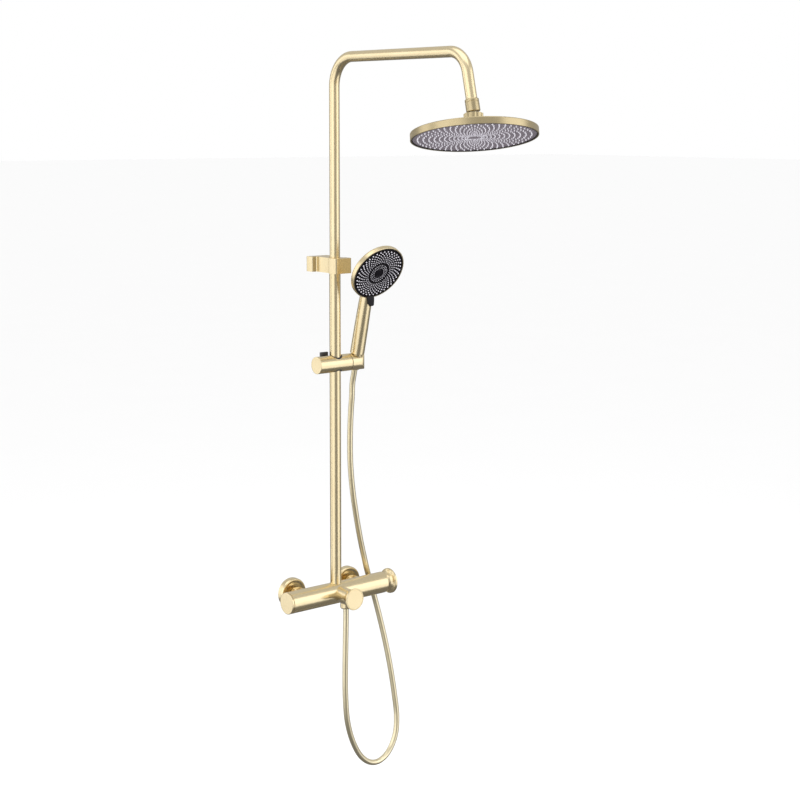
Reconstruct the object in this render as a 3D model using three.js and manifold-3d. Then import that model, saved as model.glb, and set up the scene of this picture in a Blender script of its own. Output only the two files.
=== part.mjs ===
// Rainfall shower column: a mixer bar on two wall inlets, a two-piece riser with a rain head,
// a wall bracket, and a hand shower in a sliding holder with its hose.
// Millimetres, +Z up. The wall is the plane Y = 0 and the room is towards -Y. The origin lies on
// the wall, midway between the two inlets and level with the bar's axis.

import * as THREE from 'three';
import { mergeVertices } from 'three/addons/utils/BufferGeometryUtils.js';
import Module from 'manifold-3d';

const wasm = await Module();
wasm.setup();

// ---- driving dimensions ----

const GAP = 0.3;

const WALL_DISTANCE = 65;
const INLET_SPACING = 150;

const BAR_RADIUS = 23.5;
const BAR_LEFT = -132;
const BAR_RIGHT = 130;
const BAR_BORE = 17.5;
const CAP_THICKNESS = 5.4;
const BOSS_RADIUS = 17.4;
const BOSS_REACH = 43.7;
const BOSS_BORE = 13.7;
const SPIGOT_RADIUS = 12;
const SPIGOT_REACH = 36;
const MIXER_KNOB_RADIUS = 23.7;
const MIXER_KNOB_FACE = 67.8;
const DIVERTER_KNOB_RADIUS = 28;
const DIVERTER_KNOB_FACE = 151.2;
const SPINDLE_RADIUS = 4;
const OUTLET_X = 27.5;

const ROSETTE_RADIUS = 33;
const ROSETTE_DEPTH = 14;
const UNION_DROP = 6;
const UNION_TAIL = 18;

const RAIL_RADIUS = 12;
const RAIL_WALL = 0.65;
const RAIL_TOP = 704;
const PIPE_RADIUS = 11;
const PIPE_WALL = 1.4;
const PIPE_BOTTOM = 500;
const ARM_HEIGHT = 1146.8;
const ARM_REACH = 405.4;
const RISER_BEND = 59;
const SPOUT_BEND = 51;
const SPOUT_LEAN = THREE.MathUtils.degToRad(13.3);
const SPOUT_LENGTH = 100;

const BRACKET_Z = 699;
const BRACKET_HEIGHT = 32;

const BALL_DROP = 112;
const BALL_RADIUS = 9;
const HEAD_RADIUS = 121.3;
const HEAD_RIM = 14;
const HEAD_DROP = 55;
const HEAD_AXIS = new THREE.Vector3(0.105, 0.203, 0.974).normalize();

const SLIDER_Z = 504.6;
const SLIDER_RADIUS = 18.4;
const SLIDER_LEFT = -50;
const SLIDER_SEAM = 34.2;
const HOLDER_LEFT = 35.4;
const HOLDER_X = 56;
const LINER_RADIUS = 14.7;
const BUTTON = { x: -18, y: 16, width: 18, depth: 6, bottom: 3.6, top: 24.4 };

const HANDLE_RADIUS = 15.5;
const HANDLE_LEAN = THREE.MathUtils.degToRad(13.9);
const HANDLE_START = 19.2;
const FACE_FORWARD = 29.2;
const FACE_HEIGHT = 208.7;
const FACE_TILT = THREE.MathUtils.degToRad(15.9);
const FACE_RADIUS = 63;
const NUT_BOTTOM = -17;

const HOSE_RADIUS = 6.2;
const HOSE_STEPS = 58;

// ---- shapes ----

const UP = new THREE.Vector3(0, 0, 1);
const DOWN = new THREE.Vector3(0, 0, -1);
const LEFT = new THREE.Vector3(-1, 0, 0);
const RIGHT = new THREE.Vector3(1, 0, 0);
const FRONT = new THREE.Vector3(0, -1, 0);
const BACK = new THREE.Vector3(0, 1, 0);

function volumeSign(position, index) {
  const [a, b, c] = [new THREE.Vector3(), new THREE.Vector3(), new THREE.Vector3()];
  let sum = 0;
  for (let i = 0; i < index.length; i += 3) {
    a.fromBufferAttribute(position, index[i]);
    b.fromBufferAttribute(position, index[i + 1]);
    c.fromBufferAttribute(position, index[i + 2]);
    sum += a.dot(b.cross(c));
  }
  return Math.sign(sum);
}

// Shared vertices merged, empty triangles dropped and faces turned outwards.
function closed(geometry) {
  const bare = geometry.clone();
  bare.deleteAttribute('normal');
  bare.deleteAttribute('uv');
  const merged = mergeVertices(bare, 1e-4);
  const corners = merged.index.array;
  const kept = [];
  for (let i = 0; i < corners.length; i += 3) {
    const [a, b, c] = [corners[i], corners[i + 1], corners[i + 2]];
    if (a !== b && b !== c && c !== a) kept.push(a, b, c);
  }
  if (volumeSign(merged.attributes.position, kept) < 0) kept.reverse();
  merged.setIndex(kept);
  merged.computeVertexNormals();
  return merged;
}

function toSolid(geometry) {
  const { attributes, index } = closed(geometry);
  const triVerts = Uint32Array.from(index.array);
  return new wasm.Manifold(
    new wasm.Mesh({ numProp: 3, vertProperties: attributes.position.array, triVerts }),
  );
}

function fromSolid(solid) {
  const mesh = solid.getMesh();
  const geometry = new THREE.BufferGeometry();
  geometry.setAttribute('position', new THREE.BufferAttribute(mesh.vertProperties, 3));
  geometry.setIndex(new THREE.BufferAttribute(mesh.triVerts, 1));
  geometry.computeVertexNormals();
  return geometry;
}

function cut(base, ...tools) {
  return fromSolid(tools.reduce((solid, tool) => solid.subtract(toSolid(tool)), toSolid(base)));
}

function join(base, ...others) {
  return fromSolid(others.reduce((solid, other) => solid.add(toSolid(other)), toSolid(base)));
}

function common(base, ...others) {
  const meet = (solid, other) => solid.intersect(toSolid(other));
  return fromSolid(others.reduce(meet, toSolid(base)));
}

// A profile of [radius, height] pairs turned about Z. It closes on itself unless it starts and
// ends on the axis.
function turned(profile, segments = 24) {
  const outline = profile.map(([radius, height]) => new THREE.Vector2(radius, height));
  if (profile[0][0] > 0) outline.push(outline[0].clone());
  return closed(new THREE.LatheGeometry(outline, segments).rotateX(Math.PI / 2));
}

function rod(radius, from, to, segments) {
  return turned([[0, from], [radius, from], [radius, to], [0, to]], segments);
}

function ring(inner, outer, from, to, segments) {
  return turned([[inner, from], [outer, from], [outer, to], [inner, to]], segments);
}

function block([x0, x1], [y0, y1], [z0, z1]) {
  const box = new THREE.BoxGeometry(x1 - x0, y1 - y0, z1 - z0);
  return closed(box.translate((x0 + x1) / 2, (y0 + y1) / 2, (z0 + z1) / 2));
}

// Turns a shape made along +Z to another direction, then moves it.
function aim(geometry, direction, x = 0, y = 0, z = 0) {
  const turn = new THREE.Quaternion().setFromUnitVectors(UP, direction);
  return geometry.applyQuaternion(turn).translate(x, y, z);
}

// A flat outline of [x, y, corner radius] corners, each rounded by its radius.
function rounded(corners) {
  const shape = new THREE.Shape();
  corners.forEach(([x, y, radius], i) => {
    const corner = new THREE.Vector2(x, y);
    const towards = ([nx, ny]) => new THREE.Vector2(nx, ny).sub(corner).setLength(radius);
    const before = towards(corners.at(i - 1)).add(corner);
    const after = towards(corners[(i + 1) % corners.length]).add(corner);
    if (i === 0) shape.moveTo(before.x, before.y);
    else shape.lineTo(before.x, before.y);
    shape.quadraticCurveTo(x, y, after.x, after.y);
  });
  shape.closePath();
  return shape;
}

function extruded(shape, from, to, bevel = 0) {
  const geometry = new THREE.ExtrudeGeometry(shape, {
    depth: to - from - 2 * bevel,
    bevelEnabled: bevel > 0,
    bevelThickness: bevel,
    bevelSize: bevel,
    bevelOffset: -bevel,
    bevelSegments: 2,
    curveSegments: 4,
  });
  return closed(geometry.translate(0, 0, from + bevel));
}

// A bar with straight flutes round it, for splines and knurled grips.
function fluted(radius, depth, count, from, to) {
  const shape = new THREE.Shape();
  for (let i = 0; i < count * 2; i += 1) {
    const reach = i % 2 ? radius - depth : radius;
    for (const side of [-0.35, 0.35]) {
      const angle = ((i + side) * Math.PI) / count;
      const [x, y] = [reach * Math.cos(angle), reach * Math.sin(angle)];
      if (i === 0 && side < 0) shape.moveTo(x, y);
      else shape.lineTo(x, y);
    }
  }
  shape.closePath();
  return extruded(shape, from, to);
}

// A bent pipe's centreline: straight stretches with tangent arcs between them. Its steps fall
// only on the bends and the ends, so that straight stretches stay one facet long.
class PipeLine extends THREE.Curve {
  constructor(corners, bends, arcSteps) {
    super();
    this.points = [corners[0]];
    this.tangents = [corners[1].clone().sub(corners[0]).normalize()];
    bends.forEach((radius, i) => this.bend(corners.slice(i, i + 3), radius, arcSteps));
    this.points.push(corners.at(-1));
    this.tangents.push(this.tangents.at(-1).clone());
  }

  bend([from, corner, to], radius, steps) {
    const ahead = corner.clone().sub(from).normalize();
    const away = to.clone().sub(corner).normalize();
    const angle = ahead.angleTo(away);
    const start = corner.clone().addScaledVector(ahead, -radius * Math.tan(angle / 2));
    const inward = away.clone().addScaledVector(ahead, -away.dot(ahead)).normalize();
    for (let i = 0; i <= steps; i += 1) {
      const turn = (angle * i) / steps;
      const point = start.clone().addScaledVector(ahead, radius * Math.sin(turn));
      this.points.push(point.addScaledVector(inward, radius * (1 - Math.cos(turn))));
      const tangent = ahead.clone().multiplyScalar(Math.cos(turn));
      this.tangents.push(tangent.addScaledVector(inward, Math.sin(turn)));
    }
  }

  get steps() {
    return this.points.length - 1;
  }

  getPointAt(u) {
    return this.points[Math.round(u * this.steps)].clone();
  }

  getTangentAt(u) {
    return this.tangents[Math.round(u * this.steps)].clone();
  }
}

function tubeAlong(path, steps, radius, inner, sides) {
  const section = new THREE.Shape().absarc(0, 0, radius, 0, 2 * Math.PI);
  if (inner > 0) section.holes.push(new THREE.Path().absarc(0, 0, inner, 0, 2 * Math.PI, true));
  const options = { steps, extrudePath: path, bevelEnabled: false, curveSegments: sides };
  return closed(new THREE.ExtrudeGeometry(section, options));
}

// ---- materials ----

function finish(color, roughness, metalness) {
  return new THREE.MeshStandardMaterial({ color, roughness, metalness });
}

const brushedGold = finish(0xd2bd86, 0.34, 1);
const darkGold = finish(0xa98f52, 0.4, 1);
const rawBrass = finish(0xb39246, 0.45, 1);
const steel = finish(0xb9bbbe, 0.35, 1);
const blackGloss = finish(0x17151a, 0.16, 0);
const darkPlastic = finish(0x3a3b40, 0.5, 0);
const ivoryPlastic = finish(0xd9d5c8, 0.55, 0);
const rubber = finish(0x1c1c1c, 0.85, 0);
const silicone = finish(0xe9e9ec, 0.6, 0);
const mauveFace = finish(0x9a909c, 0.3, 0.2);
const hoseMetal = finish(0xcdb887, 0.38, 1);

const column = new THREE.Group();
const axes = new THREE.Group();
axes.position.y = -WALL_DISTANCE;
column.add(axes);

function add(group, name, geometry, material) {
  const mesh = new THREE.Mesh(geometry, material);
  mesh.name = name;
  group.add(mesh);
}

// ---- mixer bar ----

function mixerBody() {
  const bar = aim(
    turned([
      [0, BAR_LEFT + CAP_THICKNESS + GAP],
      [BAR_RADIUS, BAR_LEFT + CAP_THICKNESS + GAP],
      [BAR_RADIUS, BAR_RIGHT - 1],
      [BAR_RADIUS - 1, BAR_RIGHT],
      [0, BAR_RIGHT],
    ], 40),
    RIGHT,
  );
  const boss = aim(rod(BOSS_RADIUS, 0, BOSS_REACH), FRONT);
  const spigots = [-1, 1].map((side) => (
    aim(rod(SPIGOT_RADIUS, 0, SPIGOT_REACH), BACK, (side * INLET_SPACING) / 2)
  ));
  const inlets = [-1, 1].map((side) => (
    aim(rod(SPIGOT_RADIUS - 2.6, 5, SPIGOT_REACH + 1), BACK, (side * INLET_SPACING) / 2)
  ));
  return cut(
    join(bar, boss, ...spigots),
    aim(rod(BAR_BORE, BAR_LEFT, BAR_RIGHT + 1), RIGHT),
    aim(rod(BOSS_BORE, 0, BOSS_REACH + 1), FRONT),
    rod(10.2, 5, BAR_RADIUS + 2),
    rod(10.2, -BAR_RADIUS - 2, -5).translate(OUTLET_X, 0, 0),
    ...inlets,
  );
}

function addMixer(group) {
  add(group, 'mixer_body', mixerBody(), brushedGold);
  const cap = turned([
    [0, -3.5],
    [BAR_BORE - 0.5, -3.5],
    [BAR_BORE - 0.5, 0],
    [BAR_RADIUS, 0],
    [BAR_RADIUS, CAP_THICKNESS - 1.4],
    [BAR_RADIUS - 1.4, CAP_THICKNESS],
    [0, CAP_THICKNESS],
  ], 40);
  add(group, 'left_end_cap', aim(cap, LEFT, BAR_LEFT + CAP_THICKNESS), brushedGold);

  const pocket = aim(rod(SPINDLE_RADIUS + 0.4, 10, 50, 24), FRONT);
  const cartridge = aim(rod(BOSS_BORE - GAP, -10.5, 38), FRONT);
  add(group, 'mixing_cartridge', cut(cartridge, pocket), ivoryPlastic);
  add(group, 'cartridge_nut', aim(ring(6, BOSS_BORE - GAP, 38.4, 41.6), FRONT), rawBrass);
  const spindle = aim(fluted(SPINDLE_RADIUS, 0.5, 10, 10.5, 56), FRONT);
  add(group, 'mixer_spindle', spindle, rawBrass);

  const screwHole = aim(rod(2.3, 3, 30, 16), DOWN, 0, -50);
  const knob = turned([
    [0, 57.6],
    [SPINDLE_RADIUS + 0.4, 57.6],
    [SPINDLE_RADIUS + 0.4, BOSS_REACH + 0.5],
    [BOSS_RADIUS - 0.5, BOSS_REACH + 0.5],
    [BOSS_RADIUS, BOSS_REACH + 1],
    [BOSS_RADIUS, 51],
    [BOSS_RADIUS + 0.8, 56],
    [MIXER_KNOB_RADIUS - 2.4, 61],
    [MIXER_KNOB_RADIUS, 64],
    [MIXER_KNOB_RADIUS, 66.6],
    [MIXER_KNOB_RADIUS - 1, MIXER_KNOB_FACE],
    [0, MIXER_KNOB_FACE],
  ], 36);
  add(group, 'mixer_knob', cut(aim(knob, FRONT), screwHole), brushedGold);
  add(group, 'knob_grub_screw', aim(rod(2, 4.4, 16.6, 16), DOWN, 0, -50), steel);
}

function addDiverter(group) {
  const pocket = aim(rod(SPINDLE_RADIUS + 0.4, 99, 130, 24), RIGHT);
  const cartridge = aim(rod(BAR_BORE - GAP, 92, 122), RIGHT);
  add(group, 'diverter_cartridge', cut(cartridge, pocket), ivoryPlastic);
  add(group, 'diverter_nut', aim(ring(6, BAR_BORE - GAP, 122.4, 127), RIGHT), rawBrass);
  const spindle = aim(fluted(SPINDLE_RADIUS, 0.5, 10, 99.5, 141), RIGHT);
  add(group, 'diverter_spindle', spindle, rawBrass);
  const knob = turned([
    [0, 142],
    [SPINDLE_RADIUS + 0.4, 142],
    [SPINDLE_RADIUS + 0.4, BAR_RIGHT + 0.5],
    [14.6, BAR_RIGHT + 0.5],
    [15, 135],
    [17, 139.5],
    [21.5, 143.4],
    [DIVERTER_KNOB_RADIUS - 1, 146],
    [DIVERTER_KNOB_RADIUS, 147.4],
    [DIVERTER_KNOB_RADIUS, 149.6],
    [DIVERTER_KNOB_RADIUS - 1.4, DIVERTER_KNOB_FACE],
    [0, DIVERTER_KNOB_FACE],
  ], 36);
  add(group, 'diverter_knob', aim(knob, RIGHT), brushedGold);
}

// ---- wall inlets ----

function unionNut() {
  const hexagon = new THREE.Shape();
  for (let i = 0; i < 6; i += 1) {
    const angle = (i * Math.PI) / 3;
    const corner = [17.2 * Math.cos(angle), 17.2 * Math.sin(angle)];
    if (i === 0) hexagon.moveTo(...corner);
    else hexagon.lineTo(...corner);
  }
  const chamfer = turned([[0, 26], [15.6, 26], [17.2, 27.4], [17.2, 44], [15.6, 45.4], [0, 45.4]]);
  return cut(
    common(extruded(hexagon, 26, 45.4), chamfer),
    rod(SPIGOT_RADIUS + 0.4, 20, 42),
    rod(11, 41, 50),
  );
}

function sUnion() {
  const drop = (geometry) => geometry.translate(0, UNION_DROP, 0);
  return cut(
    join(
      rod(SPIGOT_RADIUS, 38.4, 41.4),
      rod(10.5, 41, 58),
      rod(16, 56.6, 62),
      drop(rod(10.2, 61, WALL_DISTANCE + UNION_TAIL)),
    ),
    rod(7, 38, 59),
    drop(rod(7, 57, WALL_DISTANCE + UNION_TAIL + 1)),
  );
}

function rosette() {
  const front = WALL_DISTANCE - ROSETTE_DEPTH;
  return turned([
    [11, front + 3.2],
    [ROSETTE_RADIUS - 8, front + 2.2],
    [ROSETTE_RADIUS - 4.6, front],
    [ROSETTE_RADIUS - 3.4, front],
    [ROSETTE_RADIUS - 2.4, front + 1],
    [ROSETTE_RADIUS, WALL_DISTANCE - 1],
    [ROSETTE_RADIUS, WALL_DISTANCE],
    [ROSETTE_RADIUS - 3, WALL_DISTANCE],
    [ROSETTE_RADIUS - 5, front + 4.6],
    [11, front + 5],
  ], 30);
}

function addInlets(group) {
  [['left', -1], ['right', 1]].forEach(([side, sign]) => {
    const x = (sign * INLET_SPACING) / 2;
    const here = (geometry) => aim(geometry, BACK, x);
    add(group, `inlet_washer_${side}`, here(ring(7, 11.6, 36.4, 38)), rubber);
    add(group, `union_nut_${side}`, here(unionNut()), darkGold);
    add(group, `s_union_${side}`, here(sUnion()), rawBrass);
    add(group, `rosette_${side}`, here(rosette()), brushedGold);
  });
}

// ---- outlet under the bar ----

function addOutlet(group) {
  const here = (geometry) => geometry.translate(OUTLET_X, 0, 0);
  add(group, 'outlet_nipple', here(ring(6.5, 9.9, -33, -18)), rawBrass);
  add(group, 'outlet_washer', here(ring(6.5, 10, -34.9, -33.4)), rubber);
  const nut = turned([
    [10.3, -24.2],
    [11.6, -24.2],
    [12.4, -25],
    [12.4, -38],
    [11.2, -40],
    [6.6, -40],
    [6.6, -35.3],
    [10.3, -35.3],
  ]);
  add(group, 'hose_nut', here(nut), brushedGold);
}

// ---- riser ----

const spoutDirection = new THREE.Vector3(0, -Math.sin(SPOUT_LEAN), -Math.cos(SPOUT_LEAN));
const spoutCorner = new THREE.Vector3(0, -ARM_REACH, ARM_HEIGHT);

function upperPipe() {
  const corners = [
    new THREE.Vector3(0, 0, PIPE_BOTTOM),
    new THREE.Vector3(0, 0, ARM_HEIGHT),
    spoutCorner,
    spoutCorner.clone().addScaledVector(spoutDirection, SPOUT_LENGTH),
  ];
  const line = new PipeLine(corners, [RISER_BEND, SPOUT_BEND], 8);
  return tubeAlong(line, line.steps, PIPE_RADIUS, PIPE_RADIUS - PIPE_WALL, 12);
}

function addRiser(group) {
  const nipple = turned([[7, 18], [9.9, 18], [9.9, 24], [9.2, 25], [9.2, 46], [7, 46]]);
  add(group, 'riser_nipple', nipple, rawBrass);
  add(group, 'riser_oring', ring(9.6, 10.9, 36, 38.5), rubber);
  const tube = ring(RAIL_RADIUS - RAIL_WALL, RAIL_RADIUS, 5, RAIL_TOP, 32);
  const seat = aim(rod(BAR_RADIUS + GAP, -40, 40, 48), RIGHT);
  add(group, 'lower_rail', cut(tube, seat), brushedGold);
  add(group, 'sliding_seal', ring(7, 11.1, PIPE_BOTTOM - 6, PIPE_BOTTOM - 0.4), rubber);
  add(group, 'upper_pipe', upperPipe(), brushedGold);
}

// ---- wall bracket ----

function bracketBody() {
  const half = [
    [27, WALL_DISTANCE, 2],
    [27, 44, 4],
    [16, 44, 3],
    [16, -6, 1.5],
    [22.3, -6, 3],
    [22.3, -31, 6],
  ];
  const mirrored = half.map(([x, y, radius]) => [-x, y, radius]).reverse();
  const outline = rounded([...half, ...mirrored]);
  const top = BRACKET_Z + BRACKET_HEIGHT;
  return cut(
    extruded(outline, BRACKET_Z, top, 1),
    rod(RAIL_RADIUS + 0.4, BRACKET_Z - 1, RAIL_TOP + 1),
    rod(13.2, RAIL_TOP + GAP, top + 1),
    block([-20, 20], [56, WALL_DISTANCE + 1], [BRACKET_Z + 4, top - 4]),
    rod(2.9, BRACKET_Z - 1, BRACKET_Z + 5, 16).translate(0, 61, 0),
  );
}

function addBracket(group) {
  const middle = BRACKET_Z + BRACKET_HEIGHT / 2;
  const top = BRACKET_Z + BRACKET_HEIGHT;
  add(group, 'bracket_body', bracketBody(), brushedGold);
  add(group, 'bracket_bush', ring(11.35, 12.9, RAIL_TOP + 1, top - 0.6), ivoryPlastic);
  const plate = block([-19.6, 19.6], [59.4, WALL_DISTANCE], [BRACKET_Z + 4.4, top - 4.4]);
  const holes = [-11, 11].map((x) => aim(rod(2.7, 50, 70, 16), BACK, x, 0, middle));
  add(group, 'bracket_plate', cut(plate, ...holes), steel);
  const grubScrew = rod(2.5, BRACKET_Z + 0.6, BRACKET_Z + 4, 16).translate(0, 61, 0);
  add(group, 'bracket_grub_screw', grubScrew, steel);
}

// ---- handset slider ----

function sliderBody() {
  const barrel = aim(
    turned([
      [0, SLIDER_LEFT],
      [SLIDER_RADIUS - 0.8, SLIDER_LEFT],
      [SLIDER_RADIUS, SLIDER_LEFT + 0.8],
      [SLIDER_RADIUS, SLIDER_SEAM],
      [0, SLIDER_SEAM],
    ], 40),
    RIGHT,
  );
  const half = BUTTON.width / 2 + 0.4;
  return cut(
    barrel,
    rod(LINER_RADIUS + GAP, -30, 30),
    aim(rod(5.35, 17.6, SLIDER_SEAM + 1, 24), RIGHT),
    block([BUTTON.x - half, BUTTON.x + half], [12.6, 30], [-2.4, 30]),
  );
}

function sliderButton() {
  const shape = new THREE.Shape();
  const ribs = 6;
  const pitch = BUTTON.width / ribs;
  const left = BUTTON.x - BUTTON.width / 2;
  const [near, far] = [BUTTON.y - BUTTON.depth / 2, BUTTON.y + BUTTON.depth / 2];
  shape.moveTo(left, near);
  for (let i = 0; i < ribs; i += 1) {
    const x = left + i * pitch;
    shape.lineTo(x + pitch * 0.6, near);
    shape.lineTo(x + pitch * 0.7, near + 0.7);
    shape.lineTo(x + pitch * 0.9, near + 0.7);
    shape.lineTo(x + pitch, near);
  }
  for (let i = ribs; i > 0; i -= 1) {
    const x = left + i * pitch;
    shape.lineTo(x, far);
    shape.lineTo(x - pitch * 0.1, far - 0.7);
    shape.lineTo(x - pitch * 0.3, far - 0.7);
    shape.lineTo(x - pitch * 0.4, far);
  }
  shape.lineTo(left, far);
  shape.closePath();
  return extruded(shape, BUTTON.bottom, BUTTON.top);
}

function holderCup() {
  const barrel = aim(rod(SLIDER_RADIUS, HOLDER_LEFT, HOLDER_X + 30, 40), RIGHT);
  const plan = join(
    block([HOLDER_LEFT, HOLDER_X], [-20, 20], [-20, 20]),
    rod(SLIDER_RADIUS - 0.2, -20, 20, 40).translate(HOLDER_X, 0, 0),
  );
  const lean = (geometry) => geometry.rotateX(HANDLE_LEAN).translate(HOLDER_X, 0, 0);
  return cut(
    common(barrel, plan),
    lean(turned([[0, -30], [9.93, -30], [13.56, 30], [0, 30]])),
    lean(block([0, 40], [-7, 7], [-40, 40])),
    aim(rod(5.3, HOLDER_LEFT - 1, 41, 24), RIGHT),
  );
}

function addSlider(group) {
  add(group, 'slider_liner', ring(RAIL_RADIUS + 0.35, LINER_RADIUS, -16.8, 16.8), darkPlastic);
  add(group, 'slider_body', sliderBody(), brushedGold);
  add(group, 'slider_button', sliderButton(), darkPlastic);
  const spring = ring(1.6, 2.6, -2, BUTTON.bottom - 0.4, 16);
  add(group, 'button_spring', spring.translate(BUTTON.x, BUTTON.y, 0), steel);
  const washer = aim(ring(5.35, SLIDER_RADIUS - 0.6, SLIDER_SEAM + 0.3, 35.1), RIGHT);
  add(group, 'friction_washer', washer, rubber);
  add(group, 'pivot_screw', aim(rod(5, 18, 40.6, 24), RIGHT), steel);
  add(group, 'holder_cup', holderCup(), brushedGold);
}

// ---- handset ----

function onFace(geometry) {
  return geometry.rotateX(Math.PI / 2 + FACE_TILT).translate(0, -FACE_FORWARD, FACE_HEIGHT);
}

function handsetShell() {
  const handle = turned([
    [0, 6],
    [8.5, 6],
    [8.5, HANDLE_START],
    [HANDLE_RADIUS - 1, HANDLE_START],
    [HANDLE_RADIUS, HANDLE_START + 1.2],
    [HANDLE_RADIUS - 0.4, 80],
    [HANDLE_RADIUS - 1.3, 130],
    [HANDLE_RADIUS - 2.3, 150],
    [11, 164],
    [0, 172],
  ]);
  const head = turned([
    [0, -23],
    [18, -22],
    [34, -19.4],
    [48, -16],
    [58, -13.2],
    [61.8, -11.6],
    [FACE_RADIUS, -9],
    [FACE_RADIUS, -0.8],
    [FACE_RADIUS - 0.7, 0],
    [0, 0],
  ], 44);
  return cut(
    join(handle, onFace(head)),
    onFace(rod(FACE_RADIUS + 3.4, 0, 20, 44)),
    onFace(rod(FACE_RADIUS - 2.2, -9, 1, 44)),
    rod(5, 5, 164, 20),
  );
}

function spraySelector() {
  const band = ring(57.1, 60.2, -4.2, 0, 40);
  const side = new THREE.Shape([
    new THREE.Vector2(-57.3, -3.6),
    new THREE.Vector2(-60, -3.6),
    new THREE.Vector2(-60, 0.6),
    new THREE.Vector2(-63.4, 1),
    new THREE.Vector2(-66, 3.4),
    new THREE.Vector2(-75, 11.2),
    new THREE.Vector2(-74.8, 13.4),
    new THREE.Vector2(-72.4, 13.6),
    new THREE.Vector2(-62, 5.6),
    new THREE.Vector2(-57.3, 1.4),
  ]);
  const tab = extruded(side, -7.5, 7.5, 1);
  tab.applyMatrix4(new THREE.Matrix4().makeBasis(BACK, UP, RIGHT));
  return onFace(join(band, tab));
}

function addHandset(group) {
  const taper = (reach) => 10.28 + (reach - NUT_BOTTOM) * 0.0605;
  const nut = turned([
    [8.9, 4],
    [6.6, 4],
    [6.6, NUT_BOTTOM],
    [taper(NUT_BOTTOM) - 0.8, NUT_BOTTOM],
    [taper(NUT_BOTTOM), NUT_BOTTOM + 1],
    [taper(18.6), 18.6],
    [8.9, 18.6],
  ]);
  add(group, 'cone_nut', nut, brushedGold);
  add(group, 'handset_washer', ring(5.2, 8.4, 4.3, 5.7), rubber);
  add(group, 'handset_shell', handsetShell(), brushedGold);
  add(group, 'handset_face', onFace(rod(56.7, -4.2, 0, 40)), blackGloss);
  add(group, 'handset_nozzle_mat', onFace(rod(60, -6, -4.5, 32)), silicone);
  add(group, 'handset_disc', onFace(ring(6, 58, -8.6, -6.3, 32)), ivoryPlastic);
  add(group, 'spray_selector', spraySelector(), blackGloss);
}

// ---- rain head ----

function addSwivel(group) {
  const nut = turned([
    [11.35, -92],
    [12.6, -92],
    [13.5, -93],
    [13.5, -115.6],
    [12.8, -116.5],
    [8.6, -116.5],
    [9.3, -114.6],
    [9.7, -112],
    [9.7, -100.7],
    [11.35, -100.7],
  ]);
  add(group, 'swivel_nut', nut, brushedGold);
  add(group, 'ball_seat', ring(6, 8, -104.2, -101.4), ivoryPlastic);
}

function swivelBall() {
  const profile = [[3.6, 7.4]];
  for (let angle = 60; angle >= -45; angle -= 15) {
    const turn = THREE.MathUtils.degToRad(angle);
    profile.push([BALL_RADIUS * Math.cos(turn), BALL_RADIUS * Math.sin(turn)]);
  }
  profile.push([5.6, -8.2], [5.6, -10.4], [8, -10.4], [8, -13.4], [5.6, -13.4], [5.6, -26]);
  profile.push([3.6, -26]);
  return turned(profile);
}

function rainHeadShell() {
  const face = -HEAD_DROP;
  const rimTop = face + HEAD_RIM;
  return turned([
    [5.9, -13.8],
    [8.1, -13.8],
    [8.1, -19.4],
    [18.4, -19.4],
    [18.6, -22],
    [27, -27],
    [60, -33],
    [100, rimTop + 2.4],
    [HEAD_RADIUS - 4, rimTop],
    [HEAD_RADIUS - 1.2, rimTop - 0.9],
    [HEAD_RADIUS, rimTop - 3],
    [HEAD_RADIUS, face + 0.8],
    [HEAD_RADIUS - 0.7, face],
    [HEAD_RADIUS - 2.4, face],
    [HEAD_RADIUS - 2.4, rimTop - 3.6],
    [100, rimTop - 0.6],
    [60, -36.2],
    [26, -30.5],
    [5.9, -30.5],
  ], 48);
}

function addRainHead(group) {
  const face = -HEAD_DROP;
  add(group, 'swivel_ball', swivelBall(), steel);
  const collar = cut(
    fluted(18.6, 1.5, 8, -19, -8.4),
    rod(6.1, -20, -7, 24),
    rod(8.4, -20, -10, 24),
  );
  add(group, 'swivel_collar', collar, brushedGold);
  add(group, 'rain_head_shell', rainHeadShell(), brushedGold);
  add(group, 'rain_head_gasket', ring(116.4, 118.2, face + 0.4, face + 4, 56), rubber);
  add(group, 'rain_head_face', rod(116.1, face + 0.4, face + 2.8, 56), mauveFace);
  add(group, 'rain_head_nozzle_mat', rod(116, face + 3.2, face + 4.8, 40), silicone);
  const baffle = turned([
    [0, face + 9.4],
    [112, face + 9.4],
    [112, face + 5.2],
    [109, face + 5.2],
    [109, face + 8],
    [0, face + 8],
  ], 32);
  add(group, 'rain_head_baffle', baffle, ivoryPlastic);
}

// ---- hose ----

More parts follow.
